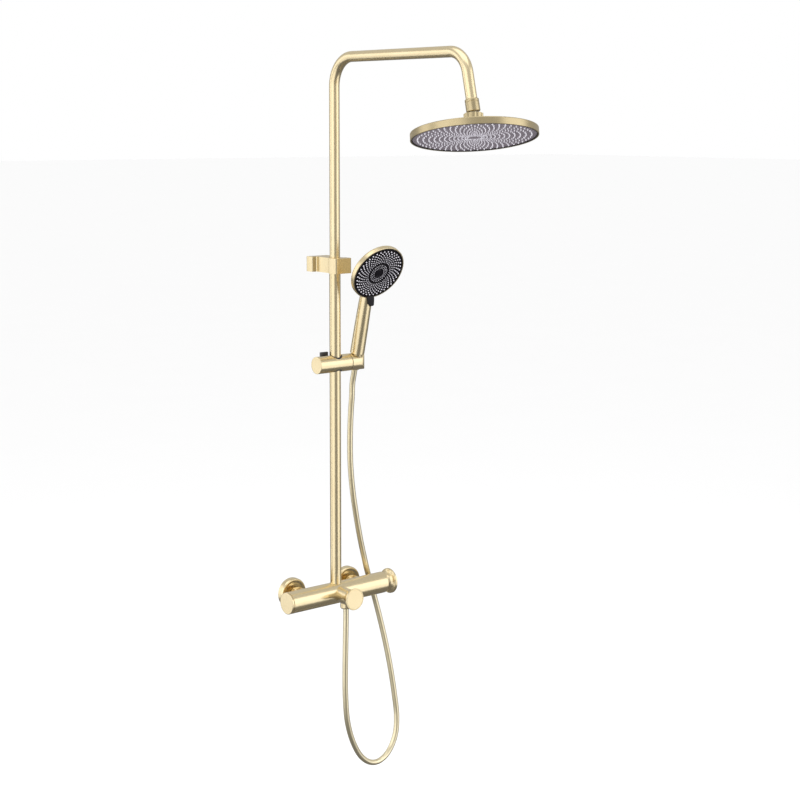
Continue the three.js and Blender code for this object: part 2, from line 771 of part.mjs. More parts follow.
// The route of the hose's middle, in the same axes as the bar: down from the outlet, round the
// loop, up behind the bar's right end and into the holder along the handle's line.
function hosePath() {
  const alongHandle = (reach) => [
    HOLDER_X,
    -reach * Math.sin(HANDLE_LEAN),
    SLIDER_Z + reach * Math.cos(HANDLE_LEAN),
  ];
  const route = [
    [OUTLET_X, 0, -35.4],
    [OUTLET_X, 0, -62],
    [26.4, 0, -117],
    [25.2, 0, -179],
    [25.6, 0, -240],
    [31.4, 0, -303],
    [47.5, 0, -355],
    [70, 0, -393],
    [94, 0, -412],
    [117, 0.5, -417],
    [139, 1, -410],
    [158, 2, -392],
    [172, 3, -362],
    [176.6, 5.5, -322],
    [173, 9.5, -272],
    [166.5, 15.5, -212],
    [158, 24, -149],
    [148, 32, -92],
    [137.5, 37, -46],
    [125.5, 36.5, -9],
    [113.7, 34.4, 23],
    [102.7, 31.6, 57],
    [93.3, 29.2, 87],
    [85.2, 27, 116],
    [78, 25.3, 145],
    [71.6, 23.8, 174],
    [65.9, 22.6, 202],
    [61.4, 21.6, 230],
    [58, 20.9, 258],
    [56, 20.5, 286],
    [55.3, 20.3, 314],
    [55.4, 20.1, 342],
    [55.8, 19.2, 370],
    [56, 17.4, 398],
    [56, 14.2, 425],
    alongHandle(-52),
    alongHandle(-28),
    alongHandle(3.4),
  ];
  return new THREE.CatmullRomCurve3(route.map((point) => new THREE.Vector3(...point)));
}

function addHose(group) {
  add(group, 'hose', tubeAlong(hosePath(), HOSE_STEPS, HOSE_RADIUS, 0, 5), hoseMetal);
}

// ---- assembly ----

addMixer(axes);
addDiverter(axes);
addInlets(axes);
addOutlet(axes);
addRiser(axes);
addBracket(axes);
addHose(axes);

const slider = new THREE.Group();
slider.position.z = SLIDER_Z;
axes.add(slider);
addSlider(slider);

const handset = new THREE.Group();
handset.position.set(HOLDER_X, 0, 0);
handset.rotation.x = HANDLE_LEAN;
slider.add(handset);
addHandset(handset);

const spout = new THREE.Group();
spout.position.copy(spoutCorner);
spout.rotation.x = -SPOUT_LEAN;
axes.add(spout);
addSwivel(spout);

const rainHead = new THREE.Group();
rainHead.position.copy(spoutCorner).addScaledVector(spoutDirection, BALL_DROP);
rainHead.quaternion.setFromUnitVectors(UP, HEAD_AXIS);
axes.add(rainHead);
addRainHead(rainHead);

export default column;
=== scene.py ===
"""A rainfall shower column: mixer bar, telescopic riser, rain head, hand shower and hose.

Shapes are written in millimetres in the bar's own axes: the origin is where the rail's axis
meets the bar's axis, X runs to the diverter, Y towards the wall and Z up. PLACE takes them to
the frame, in metres.
"""

import math

import bmesh
import bpy
from mathutils import Matrix, Vector


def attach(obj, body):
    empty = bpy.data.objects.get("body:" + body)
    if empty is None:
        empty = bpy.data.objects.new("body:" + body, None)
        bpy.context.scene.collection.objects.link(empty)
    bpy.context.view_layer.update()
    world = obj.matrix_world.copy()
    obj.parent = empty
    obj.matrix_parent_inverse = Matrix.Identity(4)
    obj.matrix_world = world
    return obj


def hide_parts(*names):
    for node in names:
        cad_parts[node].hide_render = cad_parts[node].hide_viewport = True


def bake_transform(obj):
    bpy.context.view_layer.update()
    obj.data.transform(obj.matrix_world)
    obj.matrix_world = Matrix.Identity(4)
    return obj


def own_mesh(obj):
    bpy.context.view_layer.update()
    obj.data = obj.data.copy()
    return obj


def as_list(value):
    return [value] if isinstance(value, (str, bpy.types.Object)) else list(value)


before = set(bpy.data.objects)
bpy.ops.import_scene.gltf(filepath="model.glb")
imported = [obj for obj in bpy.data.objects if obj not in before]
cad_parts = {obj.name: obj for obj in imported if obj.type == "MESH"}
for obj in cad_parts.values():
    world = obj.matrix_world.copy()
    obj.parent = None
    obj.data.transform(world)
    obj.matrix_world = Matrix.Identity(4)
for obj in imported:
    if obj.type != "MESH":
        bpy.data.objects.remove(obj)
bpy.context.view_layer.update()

# ---- sizes shared with the frame ----

MM = 0.001
WALL_DISTANCE = 65
PLACE = Matrix.Translation((0, -WALL_DISTANCE * MM, 0)) @ Matrix.Scale(MM, 4)
RIGHT = Vector((1, 0, 0))
LEFT = Vector((-1, 0, 0))
BACK = Vector((0, 1, 0))
FRONT = Vector((0, -1, 0))
UP = Vector((0, 0, 1))
DOWN = Vector((0, 0, -1))

INLET_X = 75
BAR_RADIUS = 23.5
BAR_LEFT = -132
BAR_RIGHT = 130
BAR_BORE = 17.5
CAP_THICKNESS = 5.4
BOSS_RADIUS = 17.4
BOSS_REACH = 43.7
BOSS_BORE = 13.7
INLET_RADIUS = 12
PORT_RADIUS = 10.2
STEM_BORE = 4.4
MIXER_FACE = 67.8
MIXER_RADIUS = 23.7
DIVERTER_FACE = 151.2
DIVERTER_RADIUS = 28
ROSETTE_DEPTH = 14
ROSETTE_RADIUS = 33
OUTLET_X = 27.5

RAIL_RADIUS = 12
RAIL_TOP = 704
PIPE_RADIUS = 11
PIPE_BOTTOM = 500
SOCKET_RADIUS = 11.35
ARM_HEIGHT = 1146.8
ARM_REACH = 405.4
SPOUT_LEAN = math.radians(13.3)
SPOUT_LENGTH = 100
RISER_BEND = 59
SPOUT_BEND = 51
BALL_DROP = 112
BALL_RADIUS = 9
COLLAR_RADIUS = 18.8
COLLAR_HOLLOW = 1.7
COLLAR_HOLLOWS = 8
HEAD_DROP = 55
HEAD_RADIUS = 121.3
HEAD_RIM = 14
RIM_WALL = 2.4
PLATE_RECESS = 1.9
PLATE_RADIUS = 117.1
GROOVE_DEPTH = 0.4
HEAD_AXIS = Vector((0.105, 0.203, 0.974)).normalized()

BRACKET_Z = 699
BRACKET_HEIGHT = 32

SLIDER_Z = 504.6
SLIDER_RADIUS = 18.4
SLIDER_LEFT = -50
SLIDER_SEAM = 34.2
HOLDER_LEFT = 35.4
HOLDER_X = 56
LINER_RADIUS = 14.7
LINER_HALF = 16.8
CATCH_X = -18
CATCH_Y = 16
CATCH_HALF = 9

HANDLE_RADIUS = 15.5
HANDLE_LEAN = math.radians(13.9)
HANDLE_START = 19.2
FACE_FORWARD = 29.2
FACE_HEIGHT = 208.7
FACE_TILT = math.radians(15.9)
FACE_RADIUS = 63
NUT_BOTTOM = -17

HOSE_RADIUS = 6.2


def aimed(direction, x=0.0, y=0.0, z=0.0):
    """Turns a shape made along +Z to another direction, then moves it."""
    turn = UP.rotation_difference(direction).to_matrix().to_4x4()
    return Matrix.Translation((x, y, z)) @ turn


HOLDER = Matrix.Translation((HOLDER_X, 0, SLIDER_Z)) @ Matrix.Rotation(HANDLE_LEAN, 4, "X")
FACE = (
    HOLDER
    @ Matrix.Translation((0, -FACE_FORWARD, FACE_HEIGHT))
    @ Matrix.Rotation(math.pi / 2 + FACE_TILT, 4, "X")
)
SPOUT = Matrix.Translation((0, -ARM_REACH, ARM_HEIGHT)) @ Matrix.Rotation(-SPOUT_LEAN, 4, "X")
SPOUT_AXIS = Vector((0, -math.sin(SPOUT_LEAN), -math.cos(SPOUT_LEAN)))
HEAD = aimed(HEAD_AXIS, *(Vector((0, -ARM_REACH, ARM_HEIGHT)) + SPOUT_AXIS * BALL_DROP))
SLIDER = Matrix.Translation((0, 0, SLIDER_Z))

# ---- camera ----

CAMERA_AT = (-2.0547, -2.7726, 1.0095)
CAMERA_YAW = 39.525
CAMERA_PITCH = 8.467
CAMERA_ROLL = -0.165
CAMERA_SENSOR = 36
CAMERA_LENS = 72.42
CAMERA_SHIFT = -0.045


def set_camera():
    data = bpy.data.cameras.new("studio_camera")
    data.sensor_width = CAMERA_SENSOR
    data.lens = CAMERA_LENS
    data.shift_y = CAMERA_SHIFT
    camera = bpy.data.objects.new("studio_camera", data)
    bpy.context.scene.collection.objects.link(camera)
    camera.matrix_world = (
        Matrix.Translation(CAMERA_AT)
        @ Matrix.Rotation(math.radians(-CAMERA_YAW), 4, "Z")
        @ Matrix.Rotation(math.radians(90 - CAMERA_PITCH), 4, "X")
        @ Matrix.Rotation(math.radians(-CAMERA_ROLL), 4, "Z")
    )
    bpy.context.scene.camera = camera


set_camera()

# ---- node trees ----


class Wire:
    """A node's output socket that takes part in arithmetic."""

    def __init__(self, web, socket):
        self.web = web
        self.socket = socket

    def __add__(self, other):
        return self.web.math("ADD", self, other)

    def __sub__(self, other):
        return self.web.math("SUBTRACT", self, other)

    def __mul__(self, other):
        return self.web.math("MULTIPLY", self, other)

    def __truediv__(self, other):
        return self.web.math("DIVIDE", self, other)

    def __radd__(self, other):
        return self.web.math("ADD", other, self)

    def __rsub__(self, other):
        return self.web.math("SUBTRACT", other, self)

    def __rmul__(self, other):
        return self.web.math("MULTIPLY", other, self)


class Web:
    """A node tree under construction."""

    def __init__(self, tree):
        self.tree = tree

    def node(self, kind, settings=None, sockets=None):
        made = self.tree.nodes.new(kind)
        for name, value in (settings or {}).items():
            if name == "stops":
                self.set_stops(made.color_ramp, value)
            else:
                setattr(made, name, value)
        for key, value in (sockets or {}).items():
            if isinstance(value, Wire):
                self.tree.links.new(value.socket, made.inputs[key])
            else:
                made.inputs[key].default_value = value
        return made

    def out(self, kind, output, settings=None, sockets=None):
        return Wire(self, self.node(kind, settings, sockets).outputs[output])

    def math(self, operation, *values):
        return self.out("ShaderNodeMath", 0, {"operation": operation}, dict(enumerate(values)))

    def mix(self, factor, first, second):
        sockets = {"Factor": factor, 6: first, 7: second}
        return self.out("ShaderNodeMix", 2, {"data_type": "RGBA"}, sockets)

    @staticmethod
    def set_stops(ramp, stops):
        while len(ramp.elements) > 1:
            ramp.elements.remove(ramp.elements[-1])
        ramp.elements[0].position = stops[0][0]
        ramp.elements[0].color = stops[0][1]
        for position, color in stops[1:]:
            ramp.elements.new(position).color = color


NOISE_ROUGHNESS = 0.55


class Finish(Web):
    """One material: a Principled surface with its own pattern of colour, gloss and bump."""

    def __init__(self, name):
        self.material = bpy.data.materials.new(name)
        self.material.use_nodes = True
        super().__init__(self.material.node_tree)
        self.tree.nodes.clear()
        self.place = self.out("ShaderNodeTexCoord", "Object")

    def stretched(self, scale, turn=(0, 0, 0)):
        sockets = {"Vector": self.place, "Scale": scale, "Rotation": turn}
        return self.out("ShaderNodeMapping", 0, None, sockets)

    def noise(self, vector, scale, detail):
        sockets = {
            "Vector": vector, "Scale": scale, "Detail": detail, "Roughness": NOISE_ROUGHNESS,
        }
        return self.out("ShaderNodeTexNoise", 0, {"noise_dimensions": "3D"}, sockets)

    def bump(self, height, strength, distance):
        sockets = {"Height": height, "Strength": strength, "Distance": distance}
        return self.out("ShaderNodeBump", 0, None, sockets)

    def surface(self, **sockets):
        named = {key.replace("_", " "): value for key, value in sockets.items()}
        shader = self.out("ShaderNodeBsdfPrincipled", 0, None, named)
        self.node("ShaderNodeOutputMaterial", None, {"Surface": shader})
        return self.material


def rgb(red, green, blue):
    """A colour given on the usual 0 to 255 scale, as the shader's linear values."""

    def linear(value):
        share = value / 255
        return share / 12.92 if share <= 0.04045 else ((share + 0.055) / 1.055) ** 2.4

    return (linear(red), linear(green), linear(blue), 1)


# ---- finishes ----

GOLD_LIGHT = rgb(247, 231, 192)
GOLD_DEEP = rgb(236, 216, 172)
GRAIN_FINE = 900
GRAIN_LONG = 14
SKIN_GRAIN = 1700
HOSE_PITCH = 0.0034


def satin_gold(name, along, roughness=0.27, light=GOLD_LIGHT, deep=GOLD_DEEP, turn=(0, 0, 0)):
    """Champagne gold, brushed along one axis of the piece."""
    finish = Finish(name)
    scale = [GRAIN_FINE] * 3
    scale["XYZ".index(along)] = GRAIN_LONG
    grain = finish.noise(finish.stretched(tuple(scale), turn), 1, 2)
    cloud = finish.noise(finish.place, 26, 3)
    speck = finish.noise(finish.place, 2600, 2)
    return finish.surface(
        Base_Color=finish.mix(0.75 * cloud + 0.25 * grain, light, deep),
        Metallic=1.0,
        Roughness=roughness + 0.05 * (grain - 0.5) + 0.04 * (cloud - 0.5),
        Normal=finish.bump(0.7 * grain + 0.3 * speck, 0.008, 0.00004),
    )


def machined_brass():
    finish = Finish("machined_brass")
    turning = finish.noise(finish.stretched((300, 2400, 300)), 1, 2)
    tarnish = finish.noise(finish.place, 55, 4)
    return finish.surface(
        Base_Color=finish.mix(tarnish, rgb(214, 182, 104), rgb(168, 132, 66)),
        Metallic=1.0,
        Roughness=0.30 + 0.2 * tarnish,
        Normal=finish.bump(turning, 0.2, 0.00006),
    )


def zinc_steel():
    finish = Finish("zinc_steel")
    cloud = finish.noise(finish.place, 120, 4)
    pit = finish.noise(finish.place, 1500, 2)
    return finish.surface(
        Base_Color=finish.mix(cloud, rgb(206, 208, 212), rgb(164, 166, 170)),
        Metallic=1.0,
        Roughness=0.26 + 0.16 * cloud,
        Normal=finish.bump(pit, 0.15, 0.00004),
    )


def piano_black():
    finish = Finish("piano_black")
    wave = finish.noise(finish.place, 34, 2)
    dust = finish.noise(finish.place, 1900, 2)
    return finish.surface(
        Base_Color=finish.mix(wave, rgb(9, 7, 11), rgb(15, 12, 17)),
        Roughness=0.18 + 0.09 * wave,
        Specular_IOR_Level=0.16,
        Coat_Weight=0.06,
        Coat_Roughness=0.05,
        Normal=finish.bump(0.8 * wave + 0.2 * dust, 0.05, 0.0002),
    )


def mauve_plate():
    finish = Finish("mauve_plate")
    cloud = finish.noise(finish.place, 40, 3)
    speck = finish.noise(finish.place, 1400, 2)
    return finish.surface(
        Base_Color=finish.mix(cloud, rgb(119, 110, 119), rgb(102, 94, 103)),
        Metallic=0.15,
        Roughness=0.30 + 0.12 * speck,
        Normal=finish.bump(speck, 0.12, 0.00006),
    )


def nozzle_silicone():
    finish = Finish("nozzle_silicone")
    cloud = finish.noise(finish.place, 260, 3)
    return finish.surface(
        Base_Color=finish.mix(cloud, rgb(236, 234, 240), rgb(212, 209, 218)),
        Roughness=0.42 + 0.16 * cloud,
        Normal=finish.bump(cloud, 0.1, 0.0001),
    )


def moulded(name, light, deep, roughness):
    """Plain moulded plastic or rubber with a fine spark-eroded skin."""
    finish = Finish(name)
    cloud = finish.noise(finish.place, 60, 3)
    skin = finish.noise(finish.place, SKIN_GRAIN, 2)
    return finish.surface(
        Base_Color=finish.mix(cloud, light, deep),
        Roughness=roughness + 0.14 * (skin - 0.5),
        Normal=finish.bump(skin, 0.22, 0.00008),
    )


def hose_skin():
    """Metallic film wound round the hose under a clear jacket."""
    finish = Finish("hose_skin")
    along = finish.out("ShaderNodeUVMap", 0, {"uv_map": "hose"})
    parts = finish.node("ShaderNodeSeparateXYZ", None, {"Vector": along})
    around, down = (Wire(finish, parts.outputs[i]) for i in (0, 1))
    phase = 2 * math.pi * (down / HOSE_PITCH + around)
    winding = 0.5 + 0.5 * finish.math("SINE", phase)
    cloud = finish.noise(finish.place, 70, 3)
    seam = finish.math("POWER", winding, 6.0)
    return finish.surface(
        Base_Color=finish.mix(0.2 * seam + 0.3 * cloud, rgb(250, 238, 204), rgb(224, 208, 164)),
        Metallic=1.0,
        Roughness=0.27 + 0.06 * cloud + 0.03 * seam,
        Coat_Weight=0.5,
        Coat_Roughness=0.12,
        Normal=finish.bump(winding, 0.03, 0.00022),
    )


GOLD_UPRIGHT = satin_gold("gold_brushed_upright", "Z")
GOLD_LENGTHWISE = satin_gold("gold_brushed_lengthwise", "X", 0.25)
GOLD_OUTWARD = satin_gold("gold_brushed_outward", "Y", 0.26)
# Darker copy of the gold for the rain head, its collar and the spout nut: painted shade, as the
# head hangs face down in less light.
GOLD_HEAD_PAINTED_SHADE = satin_gold("gold_brushed_head_painted_shade", "Z", 0.30, rgb(210, 194, 156), rgb(190, 173, 134))
GOLD_HANDLE = satin_gold("gold_brushed_handle", "Z", 0.27, turn=(-HANDLE_LEAN, 0, 0))
BRASS = machined_brass()
STEEL = zinc_steel()
BLACK_GLOSS = piano_black()
MAUVE = mauve_plate()
SILICONE = nozzle_silicone()
RUBBER = moulded("black_rubber", rgb(34, 34, 35), rgb(22, 22, 23), 0.72)
DARK_PLASTIC = moulded("dark_plastic", rgb(54, 52, 52), rgb(40, 39, 39), 0.42)
IVORY_PLASTIC = moulded("ivory_plastic", rgb(222, 217, 204), rgb(206, 200, 186), 0.5)
HOSE_SKIN = hose_skin()

# ---- mesh makers ----

EASE = 0.5
EASE_STEPS = 4
EASE_SHARE = 0.36
EASE_GUARD = 1.3
SMALLEST_CUT = 0.03
FLAT_ANGLE = math.radians(168)
CORNER_STEPS = 8
BEND_STEPS = 28
ROUND_SIDES = 96
SHARP_ANGLE = math.radians(38)


def arc(start, corner, end, steps):
    """Points on the curve that starts and ends along the two sides of a corner."""
    for step in range(steps + 1):
        t = step / steps
        yield start * (1 - t) ** 2 + corner * 2 * t * (1 - t) + end * t**2


def eased(profile, closed):
    """Rounds each corner of a profile. A third number on a corner is its own reach."""
    points = [Vector(corner[:2]) for corner in profile]
    made = []
    for i, point in enumerate(points):
        if not closed and i in (0, len(points) - 1):
            made.append(point)
            continue
        before = points[i - 1] - point
        after = points[(i + 1) % len(points)] - point
        reach = profile[i][2] if len(profile[i]) > 2 else EASE
        cut = min(reach, EASE_SHARE * before.length, EASE_SHARE * after.length)
        if cut < SMALLEST_CUT or before.angle(after) > FLAT_ANGLE:
            made.append(point)
            continue
        start = point + before.normalized() * cut
        end = point + after.normalized() * cut
        made.append(point + before.normalized() * cut * EASE_GUARD)
        made.extend(arc(start, point, end, EASE_STEPS))
        made.append(point + after.normalized() * cut * EASE_GUARD)
    return made


def spaced(points, pitch):
    """Adds points along the long straight stretches of a profile."""
    made = []
    for a, b in zip(points, points[1:]):
        pieces = max(1, math.ceil((b - a).length / pitch))
        made.extend(a.lerp(b, k / pieces) for k in range(pieces))
    return [*made, points[-1]]


def lathe(profile, place=None, sides=ROUND_SIDES, pitch=None):
    """A profile of (radius, height) corners turned about Z, as a closed bmesh."""
    closed = profile[0][0] > 0
    outline = eased(profile, closed)
    if pitch:
        outline = spaced(outline, pitch)
    turn = place or Matrix()
    mesh = bmesh.new()
    rings = []
    for radius, height in outline:
        if radius < 1e-6:
            rings.append([mesh.verts.new(turn @ Vector((0, 0, height)))])
            continue
        angles = (2 * math.pi * k / sides for k in range(sides))
        rings.append([
            mesh.verts.new(turn @ Vector((radius * math.cos(a), radius * math.sin(a), height)))
            for a in angles
        ])
    pairs = list(zip(rings, rings[1:]))
    if closed:
        pairs.append((rings[-1], rings[0]))
    for low, high in pairs:
        for k in range(sides):
            n = (k + 1) % sides
            if len(low) == 1 and len(high) == 1:
                break
            if len(low) == 1:
                mesh.faces.new((low[0], high[n], high[k]))
            elif len(high) == 1:
                mesh.faces.new((low[k], low[n], high[0]))
            else:
                mesh.faces.new((low[k], low[n], high[n], high[k]))
    bmesh.ops.recalc_face_normals(mesh, faces=mesh.faces)
    return mesh


def rod(radius, start, end, place=None, sides=ROUND_SIDES, pitch=None):
    return lathe([(0, start), (radius, start), (radius, end), (0, end)], place, sides, pitch)


def ring(inner, outer, start, end, place=None, sides=ROUND_SIDES):
    corners = [(inner, start), (outer, start), (outer, end), (inner, end)]
    return lathe(corners, place, sides)


def prism(outline, start, end, place=None):
    """A flat outline of (x, y) points raised from start to end."""
    turn = place or Matrix()
    mesh = bmesh.new()
    low = [mesh.verts.new(turn @ Vector((x, y, start))) for x, y in outline]
    high = [mesh.verts.new(turn @ Vector((x, y, end))) for x, y in outline]
    mesh.faces.new(low)
    mesh.faces.new(high)
    for k in range(len(low)):
        n = (k + 1) % len(low)
        mesh.faces.new((low[k], low[n], high[n], high[k]))
    bmesh.ops.recalc_face_normals(mesh, faces=mesh.faces)
    return mesh


def block(x, y, z, place=None):
    corners = [(x[0], y[0]), (x[1], y[0]), (x[1], y[1]), (x[0], y[1])]
    return prism(corners, z[0], z[1], place)


def rounded(corners):
    """A flat outline of (x, y, radius) corners, each rounded by its radius."""
    made = []
    for i, (x, y, radius) in enumerate(corners):
        corner = Vector((x, y))
        before = Vector(corners[i - 1][:2]) - corner
        after = Vector(corners[(i + 1) % len(corners)][:2]) - corner
        start = corner + before.normalized() * radius
        end = corner + after.normalized() * radius
        made.extend(tuple(point) for point in arc(start, corner, end, CORNER_STEPS))
    return made


def transported(points):
    """A frame at each point of a path, carried along it without twisting."""
    tangents = []
    for i in range(len(points)):
        tangents.append((points[min(i + 1, len(points) - 1)] - points[max(i - 1, 0)]).normalized())
    side = tangents[0].orthogonal().normalized()
    frames = []
    for tangent in tangents:
        side = (side - tangent * side.dot(tangent)).normalized()
        frames.append((side, tangent.cross(side)))
    return frames


def swept(points, radius, sides, uv_name=None):
    """A round tube of one radius along a path, capped at both ends."""
    mesh = bmesh.new()
    rings = []
    reach = [0.0]
    for a, b in zip(points, points[1:]):
        reach.append(reach[-1] + (b - a).length * MM)
    for point, (side, other) in zip(points, transported(points)):
        rings.append([
            mesh.verts.new(
                point
                + side * radius * math.cos(2 * math.pi * k / sides)
                + other * radius * math.sin(2 * math.pi * k / sides)
            )
            for k in range(sides)
        ])
    layer = mesh.loops.layers.uv.new(uv_name) if uv_name else None
    for i, (low, high) in enumerate(zip(rings, rings[1:])):
        for k in range(sides):
            n = (k + 1) % sides
            face = mesh.faces.new((low[k], low[n], high[n], high[k]))
            if layer:
                values = ((k, i), (k + 1, i), (k + 1, i + 1), (k, i + 1))
                for loop, (u, v) in zip(face.loops, values):
                    loop[layer].uv = (u / sides, reach[v])
    for cap in (rings[0], rings[-1]):
        mesh.faces.new(cap)
    bmesh.ops.recalc_face_normals(mesh, faces=mesh.faces)
    return mesh


def as_object(name, mesh):
    data = bpy.data.meshes.new(name)
    mesh.to_mesh(data)
    mesh.free()
    made = bpy.data.objects.new(name, data)
    bpy.context.scene.collection.objects.link(made)
    return made


def flattened(made):
    """The object's mesh with its modifiers worked in."""
    graph = bpy.context.evaluated_depsgraph_get()
    graph.update()
    data = bpy.data.meshes.new_from_object(made.evaluated_get(graph))
    made.modifiers.clear()
    old, made.data = made.data, data
    bpy.data.meshes.remove(old)
    return made


def combined(name, base, steps):
    """A bmesh joined with or cut by others in turn, each given as (operation, bmesh)."""
    made = as_object(name, base)
    tools = []
    for operation, tool in steps:
        other = as_object(f"{name}_tool", tool)
        tools.append(other)
        change = made.modifiers.new("step", "BOOLEAN")
        change.operation = operation
        change.solver = "EXACT"
        change.object = other
    flattened(made)
    for other in tools:
        bpy.data.meshes.remove(other.data)
    return made


def softened(made, width, segments=2):
    """Rounds the sharp edges left by cutting. The width is in millimetres."""
    bevel = made.modifiers.new("edges", "BEVEL")
    bevel.width = width
    bevel.segments = segments
    bevel.limit_method = "ANGLE"
    bevel.angle_limit = SHARP_ANGLE
    bevel.use_clamp_overlap = True
    bevel.miter_outer = "MITER_ARC"
    return flattened(made)


def fitted(made, material, body, node):
    """Places a finished piece in the frame, in place of its node. A piece given no body stays
    unattached.
    """
    if not isinstance(made, bpy.types.Object):
        made = as_object(*made)
    made.data.transform(PLACE)
    made.data.materials.clear()
    made.data.materials.append(material)
    made.data.shade_smooth()
    made.data.set_sharp_from_angle(angle=SHARP_ANGLE)
    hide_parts(node)
    if body:
        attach(made, body)
    return made


# ---- hose ----

HOSE_ROUTE = [
    (OUTLET_X, 0, -35.4), (OUTLET_X, 0, -62), (26.4, 0, -117), (25.2, 0, -179),
    (25.6, 0, -240), (31.4, 0, -303), (47.5, 0, -355), (70, 0, -393),
    (94, 0, -412), (117, 0.5, -417), (139, 1, -410), (158, 2, -392),
    (172, 3, -362), (176.6, 5.5, -322), (173, 9.5, -272), (166.5, 15.5, -212),
    (158, 24, -149), (148, 32, -92), (137.5, 37, -46), (125.5, 36.5, -9),
    (113.7, 34.4, 23), (102.7, 31.6, 57), (93.3, 29.2, 87), (85.2, 27, 116),
    (78, 25.3, 145), (71.6, 23.8, 174), (65.9, 22.6, 202), (61.4, 21.6, 230),
    (58, 20.9, 258), (56, 20.5, 286), (55.3, 20.3, 314), (55.4, 20.1, 342),
    (55.8, 19.2, 370), (56, 17.4, 398), (56, 14.2, 425),
]
HANDLE_REACHES = (-52, -28, 3.4)
HOSE_SPACING = 3.0
HOSE_SIDES = 28
HOSE_FOOT = -400
SLEEVE_TOP = 200
SLIDER_TOP = 325
HOLDER_TOP = 428
ENTRY_START = -72
ENTRY_END = -22


def handle_point(reach):
    return HOLDER @ Vector((0, 0, reach))


def curve_through(knots):
    """Closely spaced points on one smooth curve through the knots."""
    padded = [knots[0] * 2 - knots[1], *knots, knots[-1] * 2 - knots[-2]]
    made = []
    for p0, p1, p2, p3 in zip(padded, padded[1:], padded[2:], padded[3:]):
        d0, d1, d2 = (max((b - a).length ** 0.5, 1e-4) for a, b in ((p0, p1), (p1, p2), (p2, p3)))
        t1 = ((p1 - p0) / d0 - (p2 - p0) / (d0 + d1) + (p2 - p1) / d1) * d1
        t2 = ((p2 - p1) / d1 - (p3 - p1) / (d1 + d2) + (p3 - p2) / d2) * d1
        pieces = max(2, round((p2 - p1).length / HOSE_SPACING))
        for k in range(pieces):
            t = k / pieces
            made.append(
                p1
                + t1 * t
                + (p2 * 3 - p1 * 3 - t1 * 2 - t2) * t**2
                + (p1 * 2 - p2 * 2 + t1 + t2) * t**3
            )
    return [*made, knots[-1]]


def run_length(points):
    return sum((b - a).length for a, b in zip(points, points[1:]))


def hose_lengths():
    knots = [Vector(p) for p in HOSE_ROUTE] + [handle_point(r) for r in HANDLE_REACHES]
    line = curve_through(knots)
    turn = min(range(len(line)), key=lambda i: line[i].z)
    cuts = [0, turn]
    for height in (SLEEVE_TOP, SLIDER_TOP, HOLDER_TOP):
        cuts.append(next(i for i in range(turn, len(line)) if line[i].z >= height))
    cuts.append(len(line) - 1)
    return [line[a : b + 1] for a, b in zip(cuts, cuts[1:])]


def add_hose():
    names = ("hose_drop", "hose_rise", "hose_slack", "hose_lead", "hose_entry")
    blends = (
        None,
        ("fixed", "slider_sleeve", UP * HOSE_FOOT, UP * SLEEVE_TOP),
        ("slider_sleeve", "slider", UP * SLEEVE_TOP, UP * SLIDER_TOP),
        ("slider", "holder", UP * SLIDER_TOP, UP * HOLDER_TOP),
        ("holder", "hose_end", handle_point(ENTRY_START), handle_point(ENTRY_END)),
    )
    for name, line, bend in zip(names, hose_lengths(), blends):
        piece = as_object(name, swept(line, HOSE_RADIUS, HOSE_SIDES, "hose"))
        fitted(piece, HOSE_SKIN, None if bend else "fixed", "hose")
        if bend:
            first, second, start, end = bend
            PLACE @ start
            PLACE @ end
            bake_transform(piece)
        yield piece, [PLACE @ point for point in line]


hose_pieces = list(add_hose())

# ---- mixer bar ----


def add_bar():
    along = aimed(RIGHT)
    outwards = aimed(FRONT)
    seam = BAR_LEFT + CAP_THICKNESS + 0.3
    bar = lathe([
        (0, seam),
        (BAR_RADIUS, seam, 0.4),
        (BAR_RADIUS, BAR_RIGHT, 1.1),
        (0, BAR_RIGHT),
    ], along, 128, 7)
    boss = rod(BOSS_RADIUS, 6, BOSS_REACH, outwards, 96, 5)
    riser_port, outlet_port = (
        rod(PORT_RADIUS, 5, 30, place, 64) for place in (None, aimed(DOWN, OUTLET_X))
    )
    made = combined("bar_casting", bar, [
        ("UNION", boss),
        ("UNION", rod(INLET_RADIUS, 3, 36, aimed(BACK, -INLET_X), 64, 6)),
        ("UNION", rod(INLET_RADIUS, 3, 36, aimed(BACK, INLET_X), 64, 6)),
        ("DIFFERENCE", rod(BAR_BORE, BAR_LEFT, BAR_RIGHT + 4, along, 96, 12)),
        ("DIFFERENCE", rod(BOSS_BORE, 10, BOSS_REACH + 4, outwards, 96)),
        ("DIFFERENCE", riser_port),
        ("DIFFERENCE", outlet_port),
    ])
    softened(made, 0.35)
    fitted(made, GOLD_LENGTHWISE, "fixed", "mixer_body")

    cap = lathe([
        (0, -3.5),
        (BAR_BORE - 0.5, -3.5),
        (BAR_BORE - 0.5, 0),
        (BAR_RADIUS - 1.6, 0, 0.2),
        (BAR_RADIUS - 1.6, 0.9, 0.2),
        (BAR_RADIUS, 1.1, 0.3),
        (BAR_RADIUS, CAP_THICKNESS, 1.5),
        (0, CAP_THICKNESS),
    ], aimed(LEFT, BAR_LEFT + CAP_THICKNESS), 128)
    fitted(("bar_end_disc", cap), GOLD_LENGTHWISE, "fixed", "left_end_cap")


